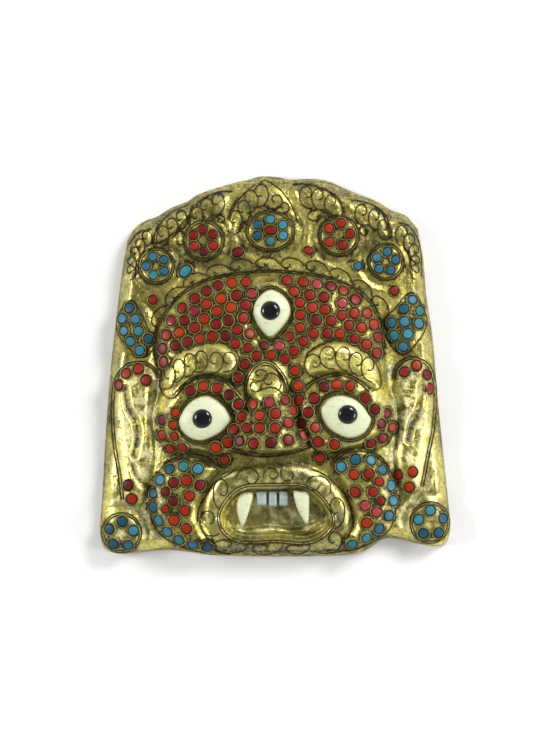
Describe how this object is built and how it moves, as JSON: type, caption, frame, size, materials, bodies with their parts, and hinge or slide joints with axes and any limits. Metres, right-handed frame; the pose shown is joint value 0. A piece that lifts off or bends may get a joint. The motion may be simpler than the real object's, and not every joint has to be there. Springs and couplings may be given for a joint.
{
  "type": "tibetan cham mask",
  "caption": "Hollow hammered brass mask of a wrathful face with leaf crown, long ears, bone eyes and fangs, and coral-red and turquoise stones.",
  "frame": {"origin": "centre of the mask's rim box, on the plane of the rim", "axes": "+Z out of the face, +Y to the crown, +X to the viewer's right; the mask lies on its rim with the face up"},
  "size_m": [0.222, 0.241, 0.0509],
  "materials": {
    "brass_sheet": "hammered and chased, polished on the high forms, with dark olive dirt in the recesses",
    "bone": "smooth, slightly greenish off-white",
    "black_glass": "polished black cabochon",
    "tooth_stone": "smooth grey-blue",
    "red_stone": "low polished cabochon, coral red",
    "blue_stone": "low polished cabochon, opaque turquoise blue"
  },
  "bodies": {
    "root": {"mask_shell": "brass_sheet", "eye_third": "bone", "eye_left": "bone", "eye_right": "bone", "pupil_third": "black_glass", "pupil_left": "black_glass", "pupil_right": "black_glass", "fang_left": "bone", "fang_right": "bone", "tooth_left": "tooth_stone", "tooth_middle": "tooth_stone", "tooth_right": "tooth_stone", "crown_centre_red": "red_stone", "crown_centre_blue_1": "blue_stone", "crown_centre_blue_2": "blue_stone", "crown_centre_blue_3": "blue_stone", "crown_centre_blue_4": "blue_stone", "crown_centre_blue_5": "blue_stone", "crown_centre_blue_6": "blue_stone", "crown_inner_left_1": "red_stone", "crown_inner_left_2": "red_stone", "crown_inner_left_3": "red_stone", "crown_inner_left_4": "red_stone", "crown_inner_left_5": "red_stone", "crown_inner_left_6": "red_stone", "crown_inner_right_1": "red_stone", "crown_inner_right_2": "red_stone", "crown_inner_right_3": "red_stone", "crown_inner_right_4": "red_stone", "crown_inner_right_5": "red_stone", "crown_outer_left_1": "blue_stone", "crown_outer_left_2": "blue_stone", "crown_outer_left_3": "blue_stone", "crown_outer_left_4": "blue_stone", "crown_outer_left_5": "blue_stone", "crown_outer_right_1": "blue_stone", "crown_outer_right_2": "blue_stone", "crown_outer_right_3": "blue_stone", "crown_outer_right_4": "blue_stone", "crown_outer_right_5": "blue_stone", "corner_left_1": "blue_stone", "corner_left_2": "blue_stone", "corner_left_3": "blue_stone", "corner_left_4": "blue_stone", "corner_left_5": "blue_stone", "corner_right_1": "blue_stone", "corner_right_2": "blue_stone", "corner_right_3": "blue_stone", "corner_right_4": "blue_stone", "corner_right_5": "blue_stone", "band_oval_blue": "blue_stone", "band_oval_red_left": "red_stone", "band_oval_red_right": "red_stone", "band_round_blue": "blue_stone", "temple_red_left": "red_stone", "temple_red_right": "red_stone"}
  },
  "joints": []
}
